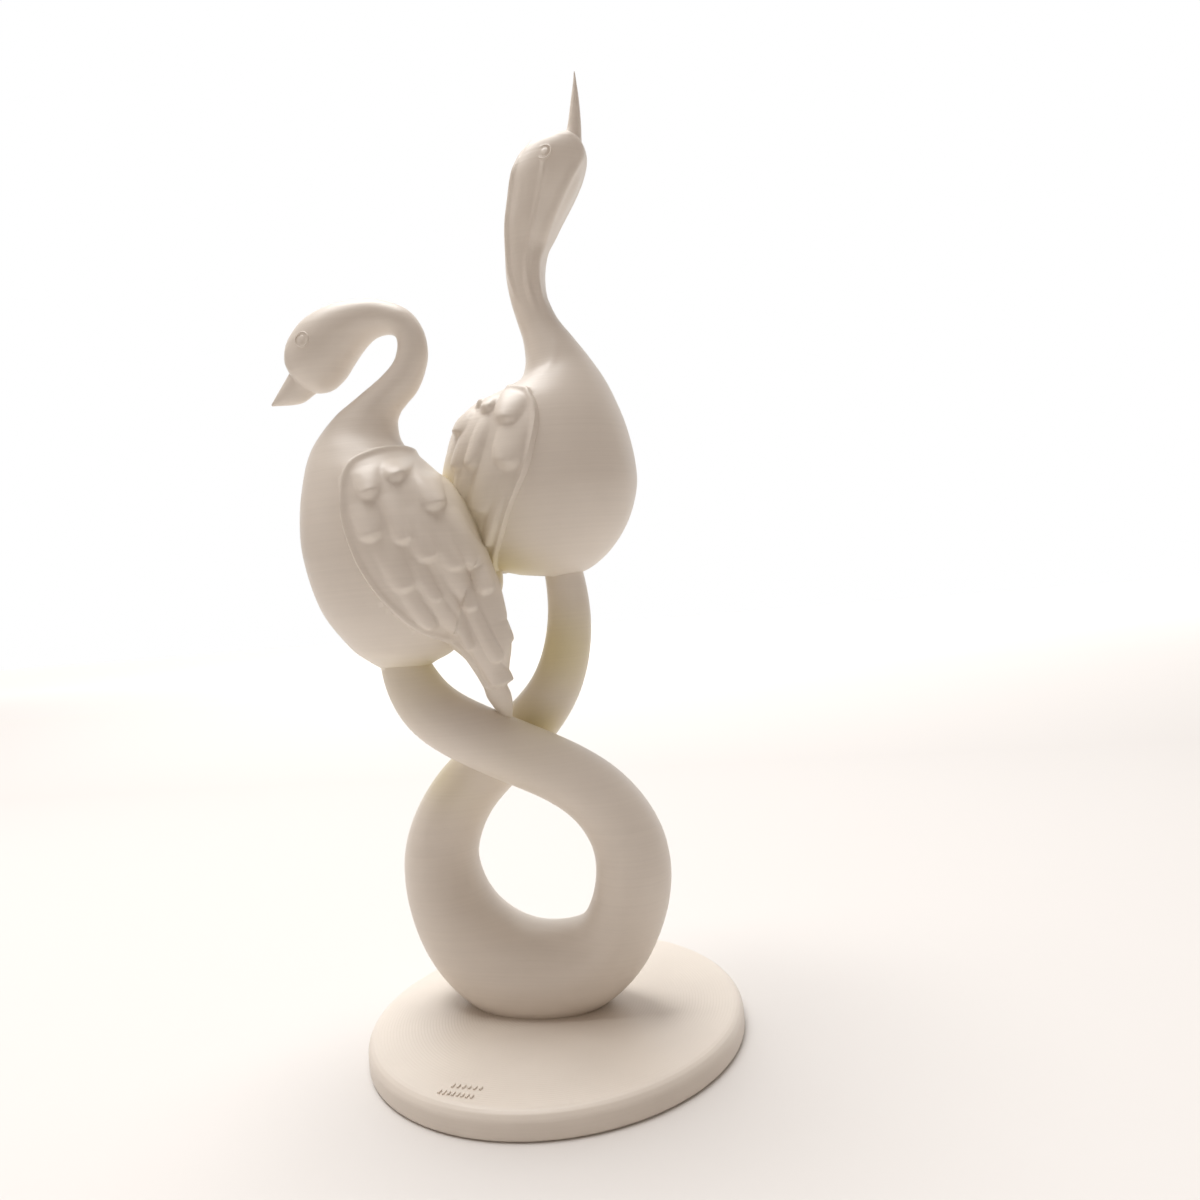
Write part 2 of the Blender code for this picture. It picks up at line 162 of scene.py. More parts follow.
# Middle line and thickness: x, y, z and radius in thousandths of the height above the base
STEM = (
    (-127, -37, 412, 19),
    (-123, -37, 380, 25.5),
    (-107, -37, 343, 30),
    (-79, -36, 315, 32),
    (-18, -31, 283, 33),
    (33, -29, 259, 32.6),
    (73, -24, 228, 34.5),
    (96, -18, 186, 37.5),
    (99, -13, 146, 39.5),
    (90, -8, 108, 39.5),
    (67, 0, 64.5, 41),
    (27, 5, 40, 50),
    (-18, 10, 30, 55),
    (-62, 16, 40, 55),
    (-98, 21, 69, 51),
    (-118, 24, 105, 46),
    (-126, 26, 143, 42.5),
    (-122, 29, 179, 40),
    (-94, 31, 229, 36.5),
    (-49, 31, 266, 33.5),
    (-12, 34, 299, 30.5),
    (17, 37, 331, 28),
    (35, 37, 370, 26),
    (43, 37, 410, 24),
    (43, 37, 447, 22),
    (38, 37, 483, 20),
)
STEM_STEPS = 8
STEM_EVENING = 20
STEM_SIDES = 44


def place(x, y, z):
    """Turn thousandths of the figure's height into a point above the base."""
    return Vector((x * SHARE, y * SHARE, BASE_THICKNESS + z * SHARE))


def smooth_rows(rows, steps):
    """Run a smooth curve through rows of numbers, with so many steps from row to row."""
    rows = np.array(rows, float)
    held = np.vstack([rows[:1], rows, rows[-1:]])
    a, b, c, d = (held[shift:len(held) - 3 + shift] for shift in range(4))
    found = []
    for step in range(steps):
        t = step / steps
        found.append(0.5 * (2 * b + (c - a) * t + (2 * a - 5 * b + 4 * c - d) * t ** 2
                            + (3 * b - a - 3 * c + d) * t ** 3))
    curve = np.stack(found, 1).reshape(-1, rows.shape[1])
    return np.vstack([curve, rows[-1:]])


def node_tree_for(maker, name, sockets):
    """Give an object an empty Geometry Nodes tree with named inputs, and return its ends."""
    tree = bpy.data.node_groups.new(name, "GeometryNodeTree")
    tree.interface.new_socket("Geometry", in_out="INPUT", socket_type="NodeSocketGeometry")
    tree.interface.new_socket("Geometry", in_out="OUTPUT", socket_type="NodeSocketGeometry")
    modifier = maker.modifiers.new(name, "NODES")
    for label, kind, value in sockets:
        socket = tree.interface.new_socket(label, in_out="INPUT", socket_type="NodeSocket" + kind)
        socket.default_value = value
    modifier.node_group = tree
    for label, kind, value in sockets:
        socket = next(item for item in tree.interface.items_tree if item.name == label)
        modifier[socket.identifier] = value
    start = tree.nodes.new("NodeGroupInput")
    end = tree.nodes.new("NodeGroupOutput")
    return tree, start, end


def add_node(tree, kind, inputs=None, **settings):
    """Add a node with its settings, and set or link its inputs."""
    node = tree.nodes.new(kind)
    for name, value in settings.items():
        setattr(node, name, value)
    for name, value in (inputs or {}).items():
        if isinstance(value, bpy.types.NodeSocket):
            tree.links.new(value, node.inputs[name])
        else:
            node.inputs[name].default_value = value
    return node


plastic = bpy.data.materials.new("printed_ivory_pla")


def end_in_plastic(tree, geometry, end):
    """Make a tree's copies real, give them the plastic and link them to the tree's end."""
    real = add_node(tree, "GeometryNodeRealizeInstances", {"Geometry": geometry})
    finish = add_node(tree, "GeometryNodeSetMaterial",
                      {"Geometry": real.outputs["Geometry"], "Material": plastic})
    tree.links.new(finish.outputs["Geometry"], end.inputs["Geometry"])


def bent_stem():
    """Sweep a round section along the stem's middle line, as thick as each point says."""
    curve = bpy.data.curves.new("stem", "CURVE")
    curve.dimensions = "3D"
    spline = curve.splines.new("POLY")
    rows = smooth_rows(STEM, STEM_STEPS)
    for _ in range(STEM_EVENING):
        rows[1:-1] = (rows[:-2] + 2 * rows[1:-1] + rows[2:]) / 4
    spline.points.add(len(rows) - 1)
    for point, (x, y, z, radius) in zip(spline.points, rows):
        point.co = (*place(x, y, z), 1)
        point.radius = radius * SHARE
    stem = figure_piece("stem", curve)
    tree, start, end = node_tree_for(stem, "round_bar", [("Sides", "Int", STEM_SIDES)])
    section = add_node(tree, "GeometryNodeCurvePrimitiveCircle",
                       {"Resolution": start.outputs["Sides"], "Radius": 1.0})
    radius = add_node(tree, "GeometryNodeInputRadius")
    sweep = add_node(tree, "GeometryNodeCurveToMesh",
                     {"Curve": start.outputs["Geometry"], "Profile Curve": section.outputs["Curve"],
                      "Scale": radius.outputs["Radius"], "Fill Caps": True})
    end_in_plastic(tree, sweep.outputs["Mesh"], end)
    return plain_mesh(stem)


stem = bent_stem()

# Each swan's body, neck and head are one smooth form, printed hollow and in one go with the stem.
# Long faint creases run down the raised neck.

# Outlines from below up along the neck to the forehead: breast x and z, back x and z, y, and the
# thickness from front to back as a share of the width
LEFT_FORM = (
    (-138, 373, -102, 375, -37, 0.90),
    (-160, 388, -88, 382, -37, 0.86),
    (-179, 406, -66, 394, -37, 0.84),
    (-204, 446, -40, 428, -37, 0.84),
    (-217, 500, -28, 477, -37, 0.84),
    (-217, 543, -31, 521, -37, 0.84),
    (-209, 585, -49, 559, -37, 0.86),
    (-200, 611, -80, 586, -37, 0.90),
    (-187, 630, -104, 612, -37, 0.95),
    (-170, 647, -108, 632, -37, 0.98),
    (-154, 658, -104, 644, -37, 1.00),
    (-136, 670, -96, 652, -37, 1.00),
    (-118, 682, -83, 664, -37, 1.00),
    (-104, 695, -73, 681, -37, 1.00),
    (-98, 709, -67, 702, -37, 1.00),
    (-99, 721, -70, 727, -37, 1.00),
    (-109, 726, -85, 749, -37, 1.00),
    (-124, 724, -116, 763, -37, 0.98),
    (-137, 715, -147, 766, -37, 0.92),
    (-151, 700, -174, 762, -37, 0.86),
    (-163, 686, -199, 751, -37, 0.84),
    (-178, 676, -217, 732, -37, 0.84),
    (-194, 675, -223, 714, -37, 0.86),
    (-208, 681, -220, 701, -37, 0.90),
)
RIGHT_FORM = (
    (45, 458, -9, 465, 37, 0.90),
    (71, 466, -40, 475, 37, 0.84),
    (96, 485, -67, 495, 37, 0.82),
    (117, 514, -80, 527, 37, 0.82),
    (129, 548, -84, 559, 37, 0.82),
    (130, 577, -80, 594, 37, 0.82),
    (125, 610, -67, 629, 37, 0.82),
    (117, 638, -46, 651, 37, 0.84),
    (105, 668, -14, 663, 37, 0.88),
    (90, 694, 10, 673, 37, 0.92),
    (74, 718, 19, 691, 37, 0.98),
    (59, 740, 19, 717, 37, 1.00),
    (51, 759, 14, 740, 37, 1.00),
    (47, 776, 9, 762, 37, 1.00),
    (47, 794, 6, 789, 37, 1.00),
    (51, 815, 7, 817, 37, 1.00),
    (62, 832, 9, 846, 37, 1.00),
    (73, 848, 15, 872, 37, 0.95),
    (87, 868, 20, 896, 37, 0.90),
    (97, 886, 30, 914, 37, 0.88),
    (102, 905, 43, 928, 37, 0.88),
    (101, 921, 60, 936, 37, 0.88),
    (95, 932, 76, 938, 37, 0.90),
)
FORM_STEPS = 8
FORM_SIDES = 84
CREASED_SIDES = 124
CREASE_STEPS = 4
CREASE_ENDS = 6

# Creases that run down the raised head and neck: x and z along each, its height and half width
NECK_CREASES = (
    (((84, 936), (97, 925), (101, 908), (95, 893), (83, 873), (63, 841), (46, 808), (42, 781),
      (45, 760), (52, 742)), 0.00075, 0.00055),
    (((71, 916), (62, 880), (50, 846), (37, 812), (33, 782), (36, 760), (42, 744)),
     0.00055, 0.00060),
    (((40, 922), (29, 895), (21, 866), (15, 836), (13, 807), (14, 786), (20, 758)), 0.00055, 0.00050),
    (((60, 712), (58, 690), (50, 672)), 0.00012, 0.0008),
)


def form_points(rows, steps, sides):
    """Turn pairs of outline points into oval rings that reach from one point to the other."""
    rows = smooth_rows(rows, steps)
    breast = np.stack([rows[:, 0], rows[:, 4], rows[:, 1]], 1) * SHARE + (0, 0, BASE_THICKNESS)
    back = np.stack([rows[:, 2], rows[:, 4], rows[:, 3]], 1) * SHARE + (0, 0, BASE_THICKNESS)
    angles = np.linspace(0, 2 * math.pi, sides, endpoint=False)
    across = (breast - back) / 2
    deep = np.linalg.norm(across, axis=1) * rows[:, 5]
    rings = ((breast + back)[:, None] / 2 + across[:, None] * np.cos(angles)[None, :, None])
    rings[:, :, 1] += deep[:, None] * np.sin(angles)[None]
    return rings


def grid_normals(points, closed):
    """Give the outward directions of a grid of points, closed round its rows or not."""
    if closed:
        around = np.roll(points, -1, 1) - np.roll(points, 1, 1)
    else:
        around = np.gradient(points, axis=1)
    normals = np.cross(np.gradient(points, axis=0), around)
    return normals / np.maximum(np.linalg.norm(normals, axis=2, keepdims=True), 1e-12)


def crease_heights(points, creases):
    """Give the height that the creases add at each point, the same on the front and the back."""
    heights = np.zeros(points.shape[:2])
    flat = points[:, :, [0, 2]]
    for line, height, half_width in creases:
        path = smooth_rows(line, CREASE_STEPS) * SHARE + (0, BASE_THICKNESS)
        near = np.full(heights.shape, 1.0)
        place_along = np.zeros(heights.shape)
        for index, (start, end) in enumerate(zip(path, path[1:])):
            step = end - start
            part = np.clip(((flat - start) @ step) / (step @ step), 0, 1)
            gap = np.linalg.norm(flat - start - part[..., None] * step, axis=2)
            closer = gap < near
            near = np.where(closer, gap, near)
            place_along = np.where(closer, (index + part) / (len(path) - 1), place_along)
        fade = np.clip(np.minimum(place_along, 1 - place_along) * CREASE_ENDS, 0, 1)
        heights += height * fade * np.exp(-(near / half_width) ** 2)
    return heights


def skinned(name, rings):
    """Skin a row of rings, and close both ends with a point in the middle."""
    count, sides = rings.shape[:2]
    points = list(rings.reshape(-1, 3))
    faces = []
    for row in range(count - 1):
        for side in range(sides):
            after = (side + 1) % sides
            low = row * sides
            faces.append((low + side, low + after, low + sides + after, low + sides + side))
    for row, order in ((0, 1), (count - 1, -1)):
        points.append(rings[row].mean(0))
        for side in range(sides):
            pair = (row * sides + side, row * sides + (side + 1) % sides)
            faces.append((len(points) - 1,) + pair[::-order])
    return mesh_piece(name, points, faces)


def swan_body(name, form, creases):
    """Skin a swan's body, neck and head, with its creases raised."""
    rings = form_points(form, FORM_STEPS, CREASED_SIDES if creases else FORM_SIDES)
    normals = grid_normals(rings, True)
    middles = rings.mean(1, keepdims=True)
    outwards = np.sign(np.sum(normals * (rings - middles), 2, keepdims=True))
    heights = crease_heights(rings, creases)
    return skinned(name, rings + normals * outwards * heights[..., None])


bodies = {
    "left": swan_body("left_body", LEFT_FORM, ()),
    "right": swan_body("right_body", RIGHT_FORM, NECK_CREASES),
}

# The beaks and tails grow out of the bodies without a joint. The raised beak ends in a point as
# thin as the nozzle can draw, and the left tail ends in a small blunt stub on the stem.
LEFT_BEAK = (
    (-183, 682, -214, 706, -37, 0.80),
    (-197, 674, -222, 697, -37, 0.80),
    (-214, 666, -234, 683, -37, 0.70),
    (-245, 667, -246, 669, -37, 0.70),
)
RIGHT_BEAK = (
    (102, 911, 74, 927, 37, 0.80),
    (102, 925, 85, 937, 37, 0.80),
    (103, 945, 89, 947, 37, 0.90),
    (103, 969, 94, 970, 37, 1.00),
    (102, 987, 98, 988, 37, 1.00),
    (101, 1000, 100, 1000, 37, 1.00),
)
LEFT_TAIL = (
    (-124, 459, -37, 514, -42, 0.50),
    (-92, 418, -14, 466, -47, 0.50),
    (-62, 392, -7, 429, -47, 0.55),
    (-51, 380, -5, 396, -45, 0.60),
    (-43, 364, -11, 373, -39, 0.70),
    (-38, 350, -14, 356, -37, 0.80),
    (-36, 339, -11, 342, -34, 0.80),
    (-28, 323, -11, 329, -31, 0.80),
    (-24, 306, -14, 309, -29, 0.80),
)
RIGHT_TAIL = (
    (-8, 483, -66, 548, 42, 0.50),
    (-46, 470, -97, 504, 46, 0.50),
    (-58, 441, -104, 466, 47, 0.50),
    (-62, 417, -99, 438, 45, 0.50),
    (-68, 397, -91, 410, 43, 0.50),
    (-75, 385, -84, 390, 42, 0.50),
)
BEAK_SIDES = 32
TAIL_SIDES = 56

beaks = [
    skinned("left_beak", form_points(LEFT_BEAK, FORM_STEPS, BEAK_SIDES)),
    skinned("right_beak", form_points(RIGHT_BEAK, FORM_STEPS, BEAK_SIDES)),
]
tails = {
    "left": skinned("left_tail", form_points(LEFT_TAIL, FORM_STEPS, TAIL_SIDES)),
    "right": skinned("right_tail", form_points(RIGHT_TAIL, FORM_STEPS, TAIL_SIDES)),
}

# The folded wings are printed with the body as one low feathered cloak, which runs from one wing's
# rim round the back to the other's and narrows onto the tail.

# Places on a wing are shares of its length: along it, 0 is the shoulder and 1 the tip, and across
# it, plus is towards the back. An edge lists places along and the half widths there, and each
# feather has its tip along and across, half width and length.
WINGS = {
    "left": {
        "shoulder": (-102, 597),
        "tip": (-18, 328),
        "back": 1,
        "sweep": 0.0,
        "top": -0.034,
        "bend": 11.0,
        "edge": ((-0.042, 0.07), (-0.021, 0.100), (0.009, 0.143), (0.074, 0.178), (0.17, 0.205),
                 (0.26, 0.213), (0.37, 0.210), (0.48, 0.190), (0.572, 0.160), (0.642, 0.128),
                 (0.69, 0.088), (0.735, 0.054), (0.80, 0.040), (0.93, 0.030)),
        "feathers": (
            (0.158, -0.078, 0.046, 0.12), (0.132, 0.014, 0.040, 0.10), (0.266, 0.091, 0.036, 0.17),
            (0.300, -0.119, 0.052, 0.15), (0.348, -0.026, 0.040, 0.19), (0.430, 0.014, 0.036, 0.21),
            (0.486, 0.068, 0.034, 0.22), (0.505, 0.119, 0.032, 0.24), (0.504, -0.085, 0.052, 0.20),
            (0.564, -0.026, 0.032, 0.20), (0.598, 0.123, 0.030, 0.24), (0.640, 0.060, 0.034, 0.26),
            (0.686, -0.026, 0.034, 0.26), (0.764, 0.003, 0.030, 0.30), (0.831, 0.060, 0.030, 0.34),
            (0.640, -0.085, 0.036, 0.22), (0.940, 0.026, 0.040, 0.34),
        ),
    },
    "right": {
        "shoulder": (22, 662),
        "tip": (-58, 388),
        "back": -1,
        "sweep": 0.14,
        "top": 0.004,
        "bend": 3.0,
        "edge": ((-0.042, 0.05), (0.00, 0.052), (0.03, 0.072), (0.069, 0.104), (0.123, 0.124),
                 (0.21, 0.133), (0.30, 0.133), (0.37, 0.121), (0.464, 0.104), (0.557, 0.095),
                 (0.646, 0.083), (0.73, 0.066), (0.80, 0.050), (0.93, 0.036)),
        "feathers": (
            (0.114, 0.132, 0.045, 0.12), (0.135, 0.085, 0.038, 0.12), (0.172, -0.008, 0.060, 0.16),
            (0.238, 0.185, 0.050, 0.20), (0.360, 0.140, 0.040, 0.24), (0.343, 0.082, 0.034, 0.20),
            (0.325, -0.048, 0.066, 0.22), (0.500, 0.010, 0.056, 0.24), (0.520, 0.110, 0.040, 0.26),
            (0.600, -0.050, 0.040, 0.26), (0.660, 0.050, 0.036, 0.28), (0.740, -0.010, 0.034, 0.30),
            (0.800, 0.050, 0.032, 0.32), (0.910, 0.010, 0.036, 0.34),
        ),
    },
}
# Rows of feathers on the hidden sides: first tip along, step along, first tip across, step
# across, number of feathers, half width and length
HIDDEN_ROWS = (
    (0.150, 0.030, -0.080, 0.080, 3, 0.046, 0.13),
    (0.300, 0.040, -0.125, 0.075, 4, 0.042, 0.18),
    (0.480, 0.040, -0.120, 0.070, 4, 0.038, 0.22),
    (0.640, 0.050, -0.070, 0.055, 4, 0.034, 0.27),
    (0.860, 0.060, -0.010, 0.034, 2, 0.032, 0.34),
)
CLOAK_START = -0.042
CLOAK_END = 0.93
CLOAK_ROWS = 176
CLOAK_COLUMNS = 140
CLOAK_LIFT = 0.00050
CLOAK_SINK = 0.00015
RIM_HEIGHT = 0.00050
RIM_PLACE = 0.00090
RIM_HALF_WIDTH = 0.00065
FEATHER_HEIGHT = 0.00170
HIDDEN_RELIEF = 0.7
FEATHER_WIDTH = 0.93
TIP_ROUND = 1.25
BREAST_BEND = 1.4
TIP_STEEPNESS = 2.5
CROWN_POWER = 0.7
BACK_START = 0.02
BACK_FULL = 0.13
BACK_FADE = 0.014
EDGE_STEP = 0.0006
RELIEF_START = 0.0012
RELIEF_FULL = 0.0024
END_FADE = 0.03
EDGE_CURVE_STEPS = 6
GROUND_SMOOTHING = 10
SIGHT_LINES = 60
SIGHT_ANGLES = (60, 165)
SIGHT_HALVINGS = 14
ROWS_AT_ONCE = 20


def ramp(value, low, high):
    """Rise smoothly from 0 at low to 1 at high."""
    part = np.clip((value - low) / (high - low), 0, 1)
    return part * part * (3 - 2 * part)


def search_tree(pieces):
    """Gather the faces of plain mesh objects in one search tree."""
    points = []
    faces = []
    for piece in pieces:
        offset = len(points)
        points.extend(vertex.co.copy() for vertex in piece.data.vertices)
        faces.extend([offset + index for index in face.vertices] for face in piece.data.polygons)
    return BVHTree.FromPolygons(points, faces)


def middle_depth(under, spot):
    """Find the depth halfway between a swan's front and its back at a place on the wing."""
    found = []
    for facing in (-1, 1):
        outside = Vector((spot.x, facing * FIGURE_HEIGHT, spot.z))
        hit = under.ray_cast(outside, Vector((0, -facing, 0)))
        if hit[0] is None:
            return None
        found.append(hit[0].y)
    return sum(found) / 2


def cloak_sections(wing, under):
    """Trace the surface under the cloak, section by section, from one rim round the back."""
    shoulder = place(wing["shoulder"][0], 0, wing["shoulder"][1])
    tip = place(wing["tip"][0], 0, wing["tip"][1])
    length = (tip - shoulder).length
    down = (tip - shoulder).normalized()
    outward = Vector((-down.z, 0, down.x))
    if outward.x * wing["back"] < 0:
        outward = -outward
    front = Vector((0, -1, 0))
    alongs = np.linspace(CLOAK_START, CLOAK_END, CLOAK_ROWS + 1)
    edge = smooth_rows(wing["edge"], EDGE_CURVE_STEPS)
    half_widths = np.interp(alongs, edge[:, 0], edge[:, 1])
    middles = []
    points = []
    for along, half_width in zip(alongs, half_widths):
        middle = shoulder + (down * along + outward * wing["sweep"] * max(along, 0) ** 3) * length
        depth = middle_depth(under, middle)
        middle.y = middles[-1].y if depth is None else depth

        def seen(angle):
            """Look from outside at the middle, and give the first place that is met."""
            way = outward * math.cos(angle) + front * math.sin(angle)
            hit = under.ray_cast(middle + way * FIGURE_HEIGHT / 3, -way)
            return hit[0] or middle

        ends = []
        for facing in (1, -1):
            low, high = (math.radians(angle) for angle in SIGHT_ANGLES)
            for _ in range(SIGHT_HALVINGS):
                angle = (low + high) / 2
                if (seen(facing * angle) - middle).dot(outward) > -half_width * length:
                    low = angle
                else:
                    high = angle
            ends.append(facing * low)
        line = np.array([seen(angle) for angle in np.linspace(ends[0], ends[1], SIGHT_LINES)])
        reach = np.concatenate([[0], np.cumsum(np.linalg.norm(np.diff(line, axis=0), axis=1))])
        wanted = np.linspace(0, reach[-1], CLOAK_COLUMNS + 1)
        points.append(np.stack([np.interp(wanted, reach, line[:, axis]) for axis in range(3)], 1))
        middles.append(middle)
    return np.array(points), np.array(middles), shoulder, down, outward, length, alongs


def feather_heights(along, across, feathers):
    """Give the height of a set of feathers, from 0 to 1, over a grid of places."""
    heights = np.zeros(along.shape)
    for tip, side, half_width, length in feathers:
        from_tip = (tip - along) / length
        rounding = np.clip((tip - along) / (half_width * TIP_ROUND), 0, 1)
        width = FEATHER_WIDTH * half_width * np.sqrt(np.clip(1 - (1 - rounding) ** 2, 0, 1))
        off = np.abs(across - side) / np.maximum(width, 1e-6)
        crown = np.clip(1 - off ** 2, 0, 1) ** CROWN_POWER
        slope = np.clip(1 - from_tip, 0, 1) * np.clip(rounding * TIP_STEEPNESS, 0, 1)
        there = (from_tip > 0) & (from_tip < 1) & (off < 1)
        heights = np.maximum(heights, np.where(there, slope * crown, 0))
    return heights


def softened(grid, times):
    """Even a grid of numbers or points out between its neighbours, and keep its border."""
    grid = grid.copy()
    for _ in range(times):
        inner = (grid[:-2, 1:-1] + grid[2:, 1:-1] + grid[1:-1, :-2] + grid[1:-1, 2:]) / 4
        grid[1:-1, 1:-1] = (grid[1:-1, 1:-1] + inner) / 2
    return grid


def feathered_cloak(name, wing, under):
    """Raise the cloak over a swan's back, with its rims and feathers, as one closed piece."""
    points, middles, shoulder, down, outward, length, alongs = cloak_sections(wing, under)
    points = softened(points, GROUND_SMOOTHING)
    normals = grid_normals(points, False)
    flip = np.sign(np.sum(normals * (points - middles[:, None]), 2, keepdims=True))
    normals = normals * np.where(flip == 0, 1, flip)
    offset = points - np.array(shoulder)
    along = offset @ np.array(down) / length
    across = offset @ np.array(outward) / length
    across = across - wing["sweep"] * np.maximum(along, 0) ** 3
    shown = points[:, :, 1] < middles[:, None, 1]
    steps = np.linalg.norm(np.diff(points, axis=1), axis=2)
    run = np.concatenate([np.zeros((len(points), 1)), np.cumsum(steps, axis=1)], 1)
    from_rim = np.minimum(run, run[:, -1:] - run)
    for start in range(0, len(points), ROWS_AT_ONCE):
        rows = slice(start, start + ROWS_AT_ONCE)
        for edge in (points[:, 0], points[:, -1]):
            gaps = np.linalg.norm(points[rows, :, None] - edge[None, None, ::2], axis=3).min(2)
            from_rim[rows] = np.minimum(from_rim[rows], gaps)
    top = wing["top"] + np.where(across > 0, wing["bend"], BREAST_BEND) * across ** 2
    from_top = (along - top) * length
    from_edge = np.minimum(from_rim, from_top)
    backwards = ramp(across, BACK_START, BACK_FULL)
    hidden = [(tip + step * index, side + side_step * index, half, reach)
              for tip, step, side, side_step, count, half, reach in HIDDEN_ROWS
              for index in range(count)]
    relief = np.where(shown, feather_heights(along, across, wing["feathers"]),
                      HIDDEN_RELIEF * feather_heights(along, across, hidden))
    relief = softened(relief, 1) * ramp(from_edge, RELIEF_START, RELIEF_FULL)
    rise = ramp(from_top, 0, EDGE_STEP + BACK_FADE * backwards) * ramp(from_rim, 0, EDGE_STEP)
    ending = ramp(CLOAK_END - alongs, 0.0, END_FADE)[:, None]
    rise = rise * ending
    rim = np.exp(-((from_edge - RIM_PLACE) / RIM_HALF_WIDTH) ** 2)
    rim = rim * (1 - backwards)
    lift = (CLOAK_LIFT + RIM_HEIGHT * rim) * rise + FEATHER_HEIGHT * relief * ending
    lift = lift - CLOAK_SINK * (1 - rise)
    surface = points + normals * lift[..., None]
    return skinned(name, np.concatenate([middles[:, None], surface], 1))


cloaks = []
for side, wing in WINGS.items():
    ground = search_tree([bodies[side], tails[side]])
    cloaks.append(feathered_cloak(side + "_cloak", wing, ground))

# The eyes are low: a thin ring with a shallow button in it, raised on both sides of each head.
# They are so fine that the layers nearly swallow them.
EYE_PLACES = {"left": (-190, 724), "right": (66, 906)}
EYE_RING_RADIUS = 0.00150
EYE_RING_THICKNESS = 0.00018
EYE_BUTTON_RADIUS = 0.00085
EYE_BUTTON_HEIGHT = 0.00020
EYE_SINK = 0.00006
EYE_SIDES = 40
EYE_SECTION = 12
EYE_FLATNESS = 0.7
BUTTON_SIDES = 24


def ball(name, sides, home):
    """Make a ball of radius 1, stretched and placed by a matrix."""
    shape = bmesh.new()
    bmesh.ops.create_uvsphere(shape, u_segments=sides, v_segments=sides // 2, radius=1.0)
    bmesh.ops.transform(shape, matrix=home, verts=shape.verts)
    mesh = bpy.data.meshes.new(name)
    shape.to_mesh(mesh)
    shape.free()
    return figure_piece(name, mesh)


def raised_eye(name, body, spot, facing):
    """Set a ring and a button on one side of a head, square to its surface."""
    under = search_tree([body])
    seen = under.ray_cast(Vector((spot.x, facing * FIGURE_HEIGHT, spot.z)), Vector((0, -facing, 0)))
    turn = seen[1].to_track_quat("Z", "Y").to_matrix().to_4x4()
    home = Matrix.Translation(seen[0] - seen[1] * EYE_SINK) @ turn
    angles = np.linspace(0, 2 * math.pi, EYE_SIDES, endpoint=False)
    section = np.linspace(0, 2 * math.pi, EYE_SECTION, endpoint=False)
    faces = []
    points = []
    for index, angle in enumerate(angles):
        for bend in section:
            reach = EYE_RING_RADIUS + EYE_RING_THICKNESS * math.cos(bend)
            points.append(home @ Vector((reach * math.cos(angle), reach * math.sin(angle),
                                         EYE_RING_THICKNESS * EYE_FLATNESS * math.sin(bend))))
        for step in range(EYE_SECTION):
            here = index * EYE_SECTION
            there = (index + 1) % EYE_SIDES * EYE_SECTION
            after = (step + 1) % EYE_SECTION
            faces.append((here + step, here + after, there + after, there + step))
    ring = mesh_piece(name + "_ring", points, faces)
    flat = Matrix.Diagonal((EYE_BUTTON_RADIUS, EYE_BUTTON_RADIUS, EYE_BUTTON_HEIGHT, 1))
    return [ring, ball(name + "_button", BUTTON_SIDES, home @ flat)]


eyes = []
for side, (x, z) in EYE_PLACES.items():
    for facing, word in ((-1, "front"), (1, "back")):
        eyes += raised_eye(side + "_" + word + "_eye", bodies[side], place(x, 0, z), facing)

# Two short rows of plain raised strokes lie near the front edge of the base. They are printed with
# it, a layer or two high, and spell nothing.
STROKE_ROWS = (
    ((-0.0137, -0.0322), (-0.0074, -0.0336), 8),
    ((-0.0119, -0.0303), (-0.0066, -0.0311), 6),
)
STROKE_WIDTH = 0.00034
STROKE_LENGTH = 0.00115
STROKE_HEIGHT = 0.00030
STROKE_SINK = 0.0005
STROKE_SHORTEST = 0.7
STROKE_LEANS = (-0.32, -0.22)
STROKE_SEED = 5


def stroke_rows():
    """Stand strokes of uneven length along both rows."""
    mesh = bpy.data.meshes.new("strokes")
    places = []
    for start, end, count in STROKE_ROWS:
        for index in range(count):
            part = index / (count - 1)
            x, y = (a + (b - a) * part for a, b in zip(start, end))
            places.append((x, y, BASE_THICKNESS + (STROKE_HEIGHT - STROKE_SINK) / 2))
    mesh.from_pydata(places, [], [])
    strokes = figure_piece("strokes", mesh)
    tree, start, end = node_tree_for(strokes, "rows_of_strokes", [
        ("Width", "Float", STROKE_WIDTH),
        ("Length", "Float", STROKE_LENGTH),
        ("Height", "Float", STROKE_HEIGHT + STROKE_SINK),
        ("Seed", "Int", STROKE_SEED),
    ])
    size = add_node(tree, "ShaderNodeCombineXYZ",
                    {"X": start.outputs["Width"], "Y": start.outputs["Length"],
                     "Z": start.outputs["Height"]})
    block = add_node(tree, "GeometryNodeMeshCube", {"Size": size.outputs["Vector"]})
    stretch = add_node(tree, "FunctionNodeRandomValue", {"Seed": start.outputs["Seed"]},
                       data_type="FLOAT")
    stretch.inputs[2].default_value = STROKE_SHORTEST
    stretch.inputs[3].default_value = 1.0
    lengths = add_node(tree, "ShaderNodeCombineXYZ", {"X": 1.0, "Y": stretch.outputs[1], "Z": 1.0})
    lean = add_node(tree, "FunctionNodeRandomValue", {"Seed": start.outputs["Seed"]},
                    data_type="FLOAT")
    lean.inputs[2].default_value = STROKE_LEANS[0]
    lean.inputs[3].default_value = STROKE_LEANS[1]
    turn = add_node(tree, "ShaderNodeCombineXYZ", {"Z": lean.outputs[1]})
    stand = add_node(tree, "GeometryNodeInstanceOnPoints",
                     {"Points": start.outputs["Geometry"], "Instance": block.outputs["Mesh"],
                      "Rotation": turn.outputs["Vector"], "Scale": lengths.outputs["Vector"]})
    end_in_plastic(tree, stand.outputs["Instances"], end)
    return plain_mesh(strokes)


strokes = stroke_rows()

